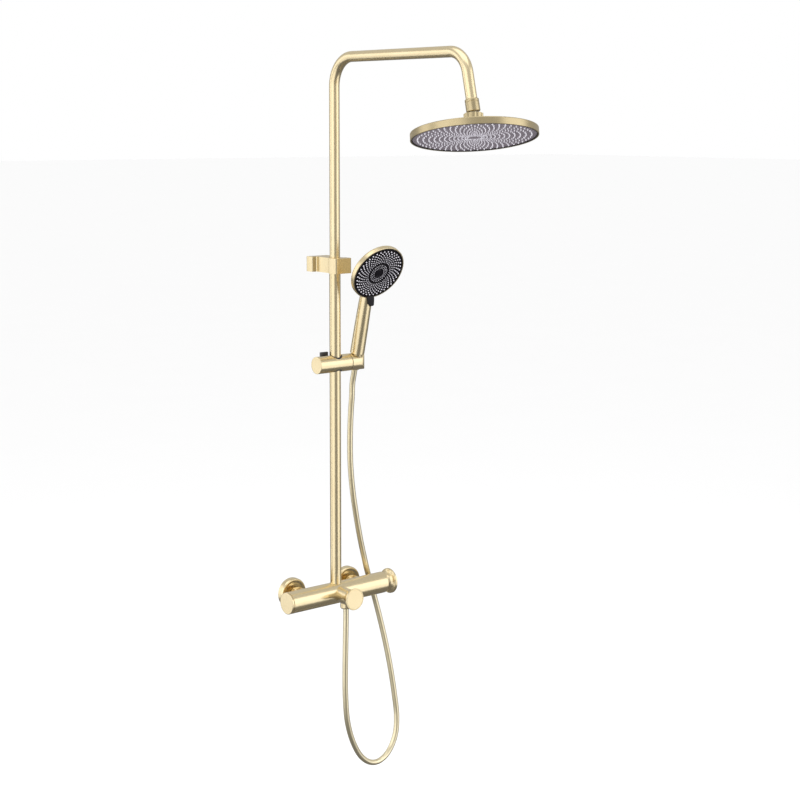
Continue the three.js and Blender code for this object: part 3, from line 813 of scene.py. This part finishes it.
def add_knobs():
    face = MIXER_FACE
    knob = lathe([
        (0, 57.6),
        (STEM_BORE, 57.6),
        (STEM_BORE, BOSS_REACH + 0.5),
        (BOSS_RADIUS, BOSS_REACH + 0.5, 0.5),
        (BOSS_RADIUS, 51.5, 3),
        (BOSS_RADIUS + 1.2, 57, 2),
        (22, 62, 1.6),
        (MIXER_RADIUS, 64.2, 0.8),
        (MIXER_RADIUS, face - 0.1, 1.0),
        (21.7, face, 0.2),
        (21.5, face - 0.45, 0.1),
        (21.0, face - 0.45, 0.1),
        (20.8, face, 0.2),
        (0, face),
    ], aimed(FRONT), 128)
    made = combined("mixer_handle_cap", knob, [
        ("DIFFERENCE", rod(2.3, 3, 30, aimed(DOWN, 0, -50), 32)),
    ])
    fitted(softened(made, 0.2), GOLD_OUTWARD, "mixer_handle", "mixer_knob")

    face = DIVERTER_FACE
    trumpet = lathe([
        (0, 142),
        (STEM_BORE, 142),
        (STEM_BORE, BAR_RIGHT + 0.5),
        (14.6, BAR_RIGHT + 0.5, 0.4),
        (15, 135, 2),
        (17, 139.5, 1.6),
        (21.5, 143.4, 1.8),
        (27.2, 145.8, 0.6),
        (DIVERTER_RADIUS, 147.2, 0.5),
        (DIVERTER_RADIUS, face - 0.1, 1.2),
        (25.6, face, 0.3),
        (25.3, face - 0.5, 0.1),
        (24.6, face - 0.5, 0.1),
        (24.3, face, 0.3),
        (0, face),
    ], aimed(RIGHT), 128)
    fitted(("diverter_handle_cap", trumpet), GOLD_LENGTHWISE, "diverter_handle",
           "diverter_knob")


def add_inlets():
    front = WALL_DISTANCE - ROSETTE_DEPTH
    for side, sign in (("left", -1), ("right", 1)):
        here = aimed(BACK, sign * INLET_X)
        cover = lathe([
            (11, front + 3.2),
            (25, front + 2.2, 2),
            (28.4, front, 0.7),
            (30.6, front, 0.9),
            (ROSETTE_RADIUS, front + 3.4, 2.4),
            (ROSETTE_RADIUS, WALL_DISTANCE, 0.4),
            (30, WALL_DISTANCE),
            (28, front + 4.8),
            (11, front + 5.2),
        ], here, 112)
        fitted((f"wall_cover_{side}", cover), GOLD_OUTWARD, "fixed",
               f"rosette_{side}")


def add_outlet():
    nut = lathe([
        (10.3, -24.2),
        (12.4, -24.2, 0.7),
        (12.4, -27, 0.3),
        (12.0, -27.5, 0.3),
        (12.0, -29, 0.3),
        (12.4, -29.5, 0.3),
        (12.4, -38, 1),
        (11.2, -40, 0.6),
        (6.6, -40),
        (6.6, -35.3),
        (10.3, -35.3),
    ], Matrix.Translation((OUTLET_X, 0, 0)), 72)
    return fitted(("outlet_nut", nut), GOLD_UPRIGHT, "fixed", "hose_nut")


# ---- riser ----


def bent(corners, bends):
    """The middle of a bent pipe: straight stretches with round bends between them."""
    made = [corners[0]]
    for (start, corner, end), radius in zip(zip(corners, corners[1:], corners[2:]), bends):
        ahead = (corner - start).normalized()
        away = (end - corner).normalized()
        angle = ahead.angle(away)
        begin = corner - ahead * radius * math.tan(angle / 2)
        inward = (away - ahead * away.dot(ahead)).normalized()
        for k in range(BEND_STEPS + 1):
            turn = angle * k / BEND_STEPS
            made.append(begin + ahead * radius * math.sin(turn)
                        + inward * radius * (1 - math.cos(turn)))
    return [*made, corners[-1]]


def add_riser():
    tube = ring(SOCKET_RADIUS, RAIL_RADIUS, 21, RAIL_TOP, None, 112)
    fitted(("rail_tube", tube), GOLD_UPRIGHT, "fixed", "lower_rail")
    corner = Vector((0, -ARM_REACH, ARM_HEIGHT))
    corners = [
        Vector((0, 0, PIPE_BOTTOM)),
        Vector((0, 0, ARM_HEIGHT)),
        corner,
        corner + SPOUT_AXIS * SPOUT_LENGTH,
    ]
    line = spaced(bent(corners, [RISER_BEND, SPOUT_BEND]), 30)
    pipe = as_object("arm_tube", swept(line, PIPE_RADIUS, 72))
    fitted(pipe, GOLD_UPRIGHT, "riser_arm", "upper_pipe")

    nut = lathe([
        (SOCKET_RADIUS, -92),
        (12.4, -92, 0.4),
        (13.5, -93.4, 0.6),
        (13.5, -97, 0.3),
        (13.1, -97.4, 0.2),
        (13.1, -98.4, 0.2),
        (13.5, -98.8, 0.3),
        (13.5, -115.4, 0.8),
        (12.2, -116.5, 0.5),
        (8.6, -116.5),
        (9.3, -114.6),
        (9.7, -112),
        (9.7, -100.7),
        (SOCKET_RADIUS, -100.7),
    ], SPOUT, 96)
    fitted(("spout_nut", nut), GOLD_HEAD_PAINTED_SHADE, "riser_arm", "swivel_nut")


# ---- rain head ----


def fluted_outline(radius, depth, count, steps):
    """A round outline with shallow finger hollows, each over the middle half of its share."""
    made = []
    for k in range(count):
        for step in range(steps):
            share = step / steps
            angle = 2 * math.pi * (k + share) / count
            reach = radius
            if 0.25 < share < 0.75:
                reach -= depth * math.sin(math.pi * (share - 0.25) / 0.5)
            made.append((reach * math.cos(angle), reach * math.sin(angle)))
    return made


def add_rain_head():
    face = -HEAD_DROP
    rim_top = face + HEAD_RIM
    shell = lathe([
        (5.9, -13.8),
        (8.1, -13.8, 0.3),
        (8.1, -19.4, 0.4),
        (18.4, -19.4, 0.6),
        (18.6, -22, 1.5),
        (27, -27, 3),
        (60, -33, 5),
        (100, rim_top + 2.4, 4),
        (HEAD_RADIUS - 4, rim_top, 1),
        (HEAD_RADIUS, rim_top - 0.4, 1.6),
        (HEAD_RADIUS, face, 0.6),
        (HEAD_RADIUS - RIM_WALL, face, 0.5),
        (HEAD_RADIUS - RIM_WALL, rim_top - 3.6),
        (100, rim_top - 0.6),
        (60, -36.2),
        (26, -30.5),
        (5.9, -30.5),
    ], HEAD, 200)
    fitted(("head_pan", shell), GOLD_HEAD_PAINTED_SHADE, "rain_head", "rain_head_shell")

    level = face + PLATE_RECESS
    plate = lathe([
        (0, face + 1.2),
        (9.4, face + 1.5, 0.5),
        (10, level + GROOVE_DEPTH, 0.2),
        (10.8, level + GROOVE_DEPTH, 0.2),
        (11.4, level, 0.3),
        (111.6, level, 0.3),
        (112.2, level + GROOVE_DEPTH, 0.2),
        (113, level + GROOVE_DEPTH, 0.2),
        (113.6, level, 0.3),
        (PLATE_RADIUS, level, 0.3),
        (PLATE_RADIUS, level + 1),
        (0, level + 1),
    ], HEAD, 160)
    fitted(("head_plate", plate), MAUVE, "rain_head", "rain_head_face")

    seal = ring(117.4, 118.6, face + 0.1, face + 4, HEAD, 144)
    fitted(("head_seal", seal), RUBBER, "rain_head", "rain_head_gasket")

    ball = [(3.6, 7.4)]
    for angle in range(60, -46, -5):
        turn = math.radians(angle)
        ball.append((BALL_RADIUS * math.cos(turn), BALL_RADIUS * math.sin(turn)))
    ball += [
        (5.6, -8.2), (5.6, -10.4), (8, -10.4), (8, -13.4), (5.6, -13.4), (5.6, -26), (3.6, -26),
    ]
    fitted(("head_ball", lathe(ball, HEAD, 72)), STEEL, "rain_head", "swivel_ball")

    grip = fluted_outline(COLLAR_RADIUS, COLLAR_HOLLOW, COLLAR_HOLLOWS, 12)
    collar = combined("head_collar", prism(grip, -19, -8.4, HEAD), [
        ("DIFFERENCE", rod(6.1, -20, -7, HEAD, 48)),
        ("DIFFERENCE", rod(8.4, -20, -10, HEAD, 48)),
    ])
    fitted(softened(collar, 0.6, 3), GOLD_HEAD_PAINTED_SHADE, "rain_head", "swivel_collar")


# ---- wall bracket ----


def add_bracket():
    foot, waist, clasp = 27, 16, 22.3
    half = [
        (foot, WALL_DISTANCE, 2),
        (foot, 44, 4),
        (waist, 44, 3),
        (waist, -6, 1.5),
        (clasp, -6, 3),
        (clasp, -31, 6.5),
    ]
    outline = rounded(half + [(-x, y, r) for x, y, r in reversed(half)])
    top = BRACKET_Z + BRACKET_HEIGHT
    grub_screw = Matrix.Translation((0, WALL_DISTANCE - 4, 0))
    body = combined("bracket_arm", prism(outline, BRACKET_Z, top), [
        ("DIFFERENCE", rod(RAIL_RADIUS + 0.4, BRACKET_Z - 1, RAIL_TOP + 1, None, 80)),
        ("DIFFERENCE", rod(13.2, RAIL_TOP + 0.3, top + 1, None, 80)),
        ("DIFFERENCE", block((-20, 20), (56, WALL_DISTANCE + 1), (BRACKET_Z + 4, top - 4))),
        ("DIFFERENCE", rod(2.9, BRACKET_Z - 1, BRACKET_Z + 5, grub_screw, 32)),
    ])
    fitted(softened(body, 0.9, 3), GOLD_UPRIGHT, "fixed", "bracket_body")
    sleeve = lathe([
        (SOCKET_RADIUS, RAIL_TOP + 1),
        (12.9, RAIL_TOP + 1),
        (12.9, top - 0.6, 0.4),
        (SOCKET_RADIUS, top - 0.6, 0.6),
    ], None, 96)
    fitted(("bracket_sleeve", sleeve), IVORY_PLASTIC, "fixed", "bracket_bush")


# ---- handset slider ----


def add_slider():
    along = SLIDER @ aimed(RIGHT)
    barrel = lathe([
        (0, SLIDER_LEFT),
        (SLIDER_RADIUS, SLIDER_LEFT, 1.0),
        (SLIDER_RADIUS, SLIDER_SEAM, 0.6),
        (0, SLIDER_SEAM),
    ], along, 128, 6)
    window = (CATCH_X - CATCH_HALF - 0.4, CATCH_X + CATCH_HALF + 0.4)
    body = combined("slider_barrel", barrel, [
        ("DIFFERENCE", rod(LINER_RADIUS + 0.3, -30, 30, SLIDER, 96, 10)),
        ("DIFFERENCE", rod(5.35, 17.6, SLIDER_SEAM + 1, along, 48)),
        ("DIFFERENCE", block(window, (12.6, 30), (-2.4, 30), SLIDER)),
    ])
    fitted(softened(body, 0.45), GOLD_LENGTHWISE, "slider", "slider_body")

    inner = RAIL_RADIUS + 0.35
    liner = lathe([
        (inner, -LINER_HALF, 0.5),
        (LINER_RADIUS, -LINER_HALF, 0.4),
        (LINER_RADIUS, LINER_HALF, 0.4),
        (inner, LINER_HALF, 0.5),
    ], SLIDER, 96)
    insert = combined("slider_insert", liner, [
        ("INTERSECT", rod(SLIDER_RADIUS + 0.5, -20, 20, along, 128, 4)),
    ])
    fitted(insert, DARK_PLASTIC, "slider_sleeve", "slider_liner")

    cup = combined("holder_barrel", lathe([
        (0, HOLDER_LEFT),
        (SLIDER_RADIUS, HOLDER_LEFT, 0.6),
        (SLIDER_RADIUS, HOLDER_X + 30),
        (0, HOLDER_X + 30),
    ], along, 128, 6), [
        ("INTERSECT", holder_plan()),
        ("DIFFERENCE", lathe([(0, -30), (9.93, -30), (13.56, 30), (0, 30)], HOLDER, 96, 8)),
        ("DIFFERENCE", block((0, 40), (-7, 7), (-40, 40), HOLDER)),
        ("DIFFERENCE", rod(5.3, HOLDER_LEFT - 1, 41, along, 48)),
    ])
    fitted(softened(cup, 0.5), GOLD_LENGTHWISE, "holder", "holder_cup")


def holder_plan():
    """Seen from above the holder ends in a half round about the handset's seat."""
    radius = SLIDER_RADIUS - 0.2
    outline = [(HOLDER_LEFT - 1, -radius)]
    steps = 48
    for step in range(steps + 1):
        angle = math.radians(-90 + 180 * step / steps)
        outline.append((HOLDER_X + radius * math.cos(angle), radius * math.sin(angle)))
    outline.append((HOLDER_LEFT - 1, radius))
    return prism(outline, -24, 24, SLIDER)


# ---- handset ----


def add_handset():
    handle = lathe([
        (0, 6),
        (8.5, 6, 0.4),
        (8.5, HANDLE_START),
        (HANDLE_RADIUS, HANDLE_START, 1.3),
        (HANDLE_RADIUS - 0.4, 80, 6),
        (HANDLE_RADIUS - 1.3, 130, 6),
        (HANDLE_RADIUS - 2.3, 150, 5),
        (11, 164, 4),
        (0, 172),
    ], HOLDER, 112, 5)
    head = lathe([
        (0, -23),
        (18, -22, 4),
        (34, -19.4, 4),
        (48, -16, 4),
        (58, -13.2, 2.5),
        (61.8, -11.6, 1.2),
        (FACE_RADIUS, -9, 1.2),
        (FACE_RADIUS, 0, 0.9),
        (0, 0),
    ], FACE, 144, 6)
    made = combined("hand_shower_body", handle, [
        ("UNION", head),
        ("DIFFERENCE", rod(FACE_RADIUS + 3.4, 0, 20, FACE, 96)),
        ("DIFFERENCE", rod(FACE_RADIUS - 2.2, -9, 1, FACE, 144)),
        ("DIFFERENCE", rod(5, 5, 164, HOLDER, 32)),
    ])
    fitted(softened(made, 0.5), GOLD_HANDLE, "handset", "handset_shell")

    plate = lathe([
        (0, -4.2),
        (56.7, -4.2),
        (56.7, 0, 0.5),
        (25.4, 0, 0.4),
        (24.6, -0.8, 0.2),
        (22.6, -0.8, 0.2),
        (21.8, 0.1, 0.4),
        (9.4, 0.1, 0.3),
        (8.8, -0.5, 0.2),
        (7.8, -0.5, 0.2),
        (7.2, 0.2, 0.6),
        (0, 0.6),
    ], FACE, 144)
    fitted(("spray_plate", plate), BLACK_GLOSS, "handset", "handset_face")

    band = lathe([(57.1, -4.2), (60.2, -4.2), (60.2, 0, 0.5), (57.1, 0, 0.5)], FACE, 144)
    side = [
        (-57.3, -3.6), (-60, -3.6), (-60, 0.6), (-63.4, 1), (-66, 3.4),
        (-75, 11.2), (-74.8, 13.4), (-72.4, 13.6), (-62, 5.6), (-57.3, 1.4),
    ]
    upright = FACE @ Matrix(((0, 0, 1, 0), (1, 0, 0, 0), (0, 1, 0, 0), (0, 0, 0, 1)))
    plan = rounded([
        (-9, -56, 1), (9, -56, 1), (8.6, -63, 3), (5.4, -76.5, 4), (-5.4, -76.5, 4), (-8.6, -63, 3),
    ])
    lever = combined("spray_lever", prism(side, -10, 10, upright), [
        ("INTERSECT", prism(plan, -8, 20, FACE)),
        ("UNION", band),
    ])
    fitted(softened(lever, 1.0, 3), BLACK_GLOSS, "selector", "spray_selector")

    nut = lathe([
        (8.9, 4),
        (6.6, 4),
        (6.6, NUT_BOTTOM, 0.4),
        (10.28, NUT_BOTTOM, 1.2),
        (12.43, 18.6, 0.6),
        (8.9, 18.6, 0.4),
    ], HOLDER, 96)
    return fitted(("hose_cone", nut), GOLD_HANDLE, "hose_end", "cone_nut")


def add_catch_spring():
    """The coil under the catch. The real one flattens onto its seat as the catch is pressed; this
    one keeps its free length.
    """
    turns, steps, low, high = 3.5, 18, -1.7, 2.8
    radius, wire = 2.1, 0.3
    points = []
    for k in range(round(turns * steps) + 1):
        angle = 2 * math.pi * k / steps
        height = low + (high - low) * k / (turns * steps)
        x = CATCH_X + radius * math.cos(angle)
        y = CATCH_Y + radius * math.sin(angle)
        points.append(Vector((x, y, SLIDER_Z + height)))
    spring = as_object("catch_spring", swept(points, wire, 10))
    fitted(spring, STEEL, "slider", "button_spring")
    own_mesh(spring)


def add_catch():
    """The ribbed push button on the slider's back."""
    ribs, pitch = 6, 3.0
    near, far = 13.0, 19.0
    bottom, top = 3.6, 24.4
    start = CATCH_X - CATCH_HALF
    front, back = [], []
    for k in range(ribs):
        x = start + k * pitch
        front += [(x, near), (x + 1.8, near), (x + 2.1, near + 0.7), (x + 2.7, near + 0.7)]
        back += [(x + 0.3, far - 0.7), (x + 0.9, far - 0.7), (x + 1.2, far), (x + 3, far)]
    outline = [*front, (CATCH_X + CATCH_HALF, near), *reversed(back), (start, far)]
    made = as_object("slider_catch_pad", prism(outline, bottom, top, SLIDER))
    fitted(softened(made, 0.35), DARK_PLASTIC, "slider_catch", "slider_button")


# ---- spray nozzles ----


NOZZLE_INPUTS = {
    "Rings": "NodeSocketInt",
    "Per Ring": "NodeSocketInt",
    "Inner Radius": "NodeSocketFloat",
    "Outer Radius": "NodeSocketFloat",
    "Turn Per Ring": "NodeSocketFloat",
    "Small": "NodeSocketFloat",
    "Large": "NodeSocketFloat",
    "Spread": "NodeSocketFloat",
    "Height": "NodeSocketFloat",
    "Silicone": "NodeSocketMaterial",
}
HEAD_NOZZLES = {
    "Rings": 12, "Per Ring": 52, "Inner Radius": 14.2, "Outer Radius": 107.5,
    "Turn Per Ring": math.pi / 52, "Small": 0.48, "Large": 1.62, "Spread": 1.3, "Height": 2.4,
}
HAND_NOZZLES = {
    "Rings": 7, "Per Ring": 36, "Inner Radius": 27.5, "Outer Radius": 54.0,
    "Turn Per Ring": 0.105, "Small": 0.75, "Large": 1.62, "Spread": 1.1, "Height": 1.7,
}
HAND_CENTRE_NOZZLES = {
    "Rings": 3, "Per Ring": 26, "Inner Radius": 12.6, "Outer Radius": 19.8,
    "Turn Per Ring": 0.12, "Small": 0.55, "Large": 0.85, "Spread": 1.0, "Height": 1.3,
}


def nozzle_tree():
    """Rings of small cones on a disc, turned a little from ring to ring, growing outwards."""
    tree = bpy.data.node_groups.new("nozzle_rings", "GeometryNodeTree")
    for name, kind in NOZZLE_INPUTS.items():
        tree.interface.new_socket(name=name, in_out="INPUT", socket_type=kind)
    tree.interface.new_socket(name="Geometry", in_out="OUTPUT", socket_type="NodeSocketGeometry")
    web = Web(tree)
    given = web.node("NodeGroupInput")
    rings, per_ring, inner, outer, twist, small, large, spread, height, silicone = (
        Wire(web, given.outputs[name]) for name in NOZZLE_INPUTS
    )
    index = web.out("GeometryNodeInputIndex", 0)
    row = web.math("FLOOR", index / per_ring)
    share = row / (rings - 1)
    angle = 2 * math.pi * (index / per_ring) + twist * row
    reach = inner + (outer - inner) * web.math("POWER", share, spread)
    position = web.out("ShaderNodeCombineXYZ", 0, None, {
        "X": reach * web.math("COSINE", angle),
        "Y": reach * web.math("SINE", angle),
    })
    points = web.out("GeometryNodePoints", 0, None, {
        "Count": rings * per_ring,
        "Position": position,
    })
    cone = web.out("GeometryNodeMeshCone", 0, {"fill_type": "NGON"}, {
        "Vertices": 12,
        "Side Segments": 2,
        "Radius Top": 0.62,
        "Radius Bottom": 1.0,
        "Depth": 1.0,
    })
    width = small + (large - small) * share
    scale = web.out("ShaderNodeCombineXYZ", 0, None, {"X": width, "Y": width, "Z": height})
    placed = web.out("GeometryNodeInstanceOnPoints", 0, None, {
        "Points": points,
        "Instance": cone,
        "Scale": scale,
    })
    real = web.out("GeometryNodeRealizeInstances", 0, None, {"Geometry": placed})
    dressed = web.out("GeometryNodeSetMaterial", 0, None, {"Geometry": real, "Material": silicone})
    web.node("NodeGroupOutput", None, {"Geometry": dressed})
    return tree


NOZZLES = nozzle_tree()


def nozzle_field(name, place, sizes):
    """Runs the nozzle tree with these sizes and sets the result on its plate."""
    made = bpy.data.objects.new(name, bpy.data.meshes.new(name))
    bpy.context.scene.collection.objects.link(made)
    grower = made.modifiers.new("nozzles", "NODES")
    grower.node_group = NOZZLES
    values = {**sizes, "Silicone": SILICONE}
    for item in NOZZLES.interface.items_tree:
        if item.in_out == "INPUT":
            grower[item.identifier] = values[item.name]
    flattened(made)
    made.data.transform(place)
    return made


def joined(name, *objects):
    mesh = bmesh.new()
    for other in objects:
        mesh.from_mesh(other.data)
        bpy.data.meshes.remove(other.data)
    return as_object(name, mesh)


def add_nozzles():
    below = HEAD @ Matrix.Translation((0, 0, -HEAD_DROP + 2)) @ Matrix.Rotation(math.pi, 4, "X")
    head = nozzle_field("head_nozzles", below, HEAD_NOZZLES)
    fitted(head, SILICONE, "rain_head", "rain_head_nozzle_mat")
    above = FACE @ Matrix.Translation((0, 0, -0.3))
    hand = joined(
        "hand_nozzles",
        nozzle_field("outer", above, HAND_NOZZLES),
        nozzle_field("centre", above, HAND_CENTRE_NOZZLES),
    )
    fitted(hand, SILICONE, "handset", "handset_nozzle_mat")


add_bar()
add_knobs()
add_inlets()
outlet_nut = add_outlet()
add_riser()
add_rain_head()
add_bracket()
add_slider()
add_catch_spring()
add_catch()
hose_cone = add_handset()
add_nozzles()

# ---- hose ends and lengths, worked out and not kept ----


def declare_hose():
    for i, (piece, line) in enumerate(hose_pieces):
        ends = {0: [outlet_nut], len(hose_pieces) - 1: [hose_cone]}.get(i, [])
        tuple(line[0])
        run_length(line)
        [tuple(point) for point in line]
        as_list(ends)


declare_hose()

# ---- finishes of the nodes that stay ----

KEPT_FINISHES = {
    BRASS: (
        "cartridge_nut", "mixer_spindle", "diverter_nut", "diverter_spindle", "s_union_left",
        "s_union_right", "outlet_nipple", "riser_nipple",
    ),
    GOLD_OUTWARD: ("union_nut_left", "union_nut_right"),
    STEEL: ("knob_grub_screw", "bracket_plate", "bracket_grub_screw", "pivot_screw"),
    IVORY_PLASTIC: (
        "mixing_cartridge", "diverter_cartridge", "handset_disc", "ball_seat", "rain_head_baffle",
    ),
    RUBBER: (
        "inlet_washer_left", "inlet_washer_right", "outlet_washer", "riser_oring",
        "sliding_seal", "friction_washer", "handset_washer",
    ),
}
for material, names in KEPT_FINISHES.items():
    for name in names:
        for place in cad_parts[name].material_slots:
            place.material = material

# ---- studio ----

FLOOR_Z = -1.05
FLOOR_REACH = 80
STUDIO_MIDDLE = Vector((0, -0.2, 0.4))
# each softbox: angle from the camera, height above the middle, distance, width, tallness, strength
SOFTBOXES = {
    "softbox_left": (-43, 0, 3.2, 3.85, 4.2, 0.92),
    "softbox_end": (-98, 0, 3.2, 1.7, 4.2, 0.86),
    "softbox_right": (73, 0, 3.0, 2.75, 4.2, 0.96),
    "softbox_top": (0, 2.9, 0.7, 3.6, 2.4, 0.95),
}
BACKDROP = (1.0, 1.0, 1.0, 1)
ROOM_SHADES = [
    (0.0, (0.14, 0.14, 0.14, 1)),
    (0.40, (0.22, 0.22, 0.22, 1)),
    (0.52, (0.46, 0.46, 0.46, 1)),
    (0.75, (0.60, 0.60, 0.60, 1)),
    (1.0, (0.55, 0.55, 0.55, 1)),
]


def facing(angle):
    """A level direction out from the column, measured round from the camera's side."""
    yaw = math.radians(CAMERA_YAW)
    back = Vector((-math.sin(yaw), -math.cos(yaw), 0))
    side = Vector((math.cos(yaw), -math.sin(yaw), 0))
    turn = math.radians(angle)
    return back * math.cos(turn) + side * math.sin(turn)


def softbox(name, angle, height, distance, width, tall, strength):
    data = bpy.data.lights.new(name, "AREA")
    data.shape = "RECTANGLE"
    data.size = width
    data.size_y = tall
    data.energy = strength * math.pi * width * tall
    lamp = bpy.data.objects.new(name, data)
    bpy.context.scene.collection.objects.link(lamp)
    lamp.location = STUDIO_MIDDLE + facing(angle) * distance + UP * height
    lamp.rotation_euler = (lamp.location - STUDIO_MIDDLE).to_track_quat("Z", "Y").to_euler()


def set_studio():
    for name, numbers in SOFTBOXES.items():
        softbox(name, *numbers)
    world = bpy.data.worlds.new("studio")
    world.use_nodes = True
    web = Web(world.node_tree)
    world.node_tree.nodes.clear()
    path = web.node("ShaderNodeLightPath")
    direct = Wire(web, path.outputs["Is Camera Ray"])
    glossy = Wire(web, path.outputs["Is Glossy Ray"])
    toward = web.out("ShaderNodeTexCoord", "Generated")
    height = web.out("ShaderNodeSeparateXYZ", 2, None, {"Vector": toward})
    room = web.out("ShaderNodeValToRGB", 0, {"stops": ROOM_SHADES}, {"Fac": 0.5 + 0.5 * height})
    seen = web.mix(glossy, BACKDROP, room)
    background = web.out("ShaderNodeBackground", 0, None, {
        "Color": web.mix(direct, seen, BACKDROP),
        "Strength": 1.0,
    })
    web.node("ShaderNodeOutputWorld", None, {"Surface": background})
    bpy.context.scene.world = world
    bpy.context.scene.view_settings.view_transform = "Standard"

    span = (-FLOOR_REACH, FLOOR_REACH)
    floor = as_object("floor", block(span, span, (-0.02, 0)))
    floor.data.transform(Matrix.Translation((0, 0, FLOOR_Z)))
    floor.visible_glossy = False
    floor.visible_shadow = False
    finish = Finish("studio_floor")
    cloud = finish.noise(finish.place, 2, 2)
    floor.data.materials.append(finish.surface(
        Base_Color=finish.mix(cloud, (0.97, 0.97, 0.97, 1), (0.96, 0.96, 0.96, 1)),
        Roughness=0.9,
        Specular_IOR_Level=0.0,
    ))


set_studio()
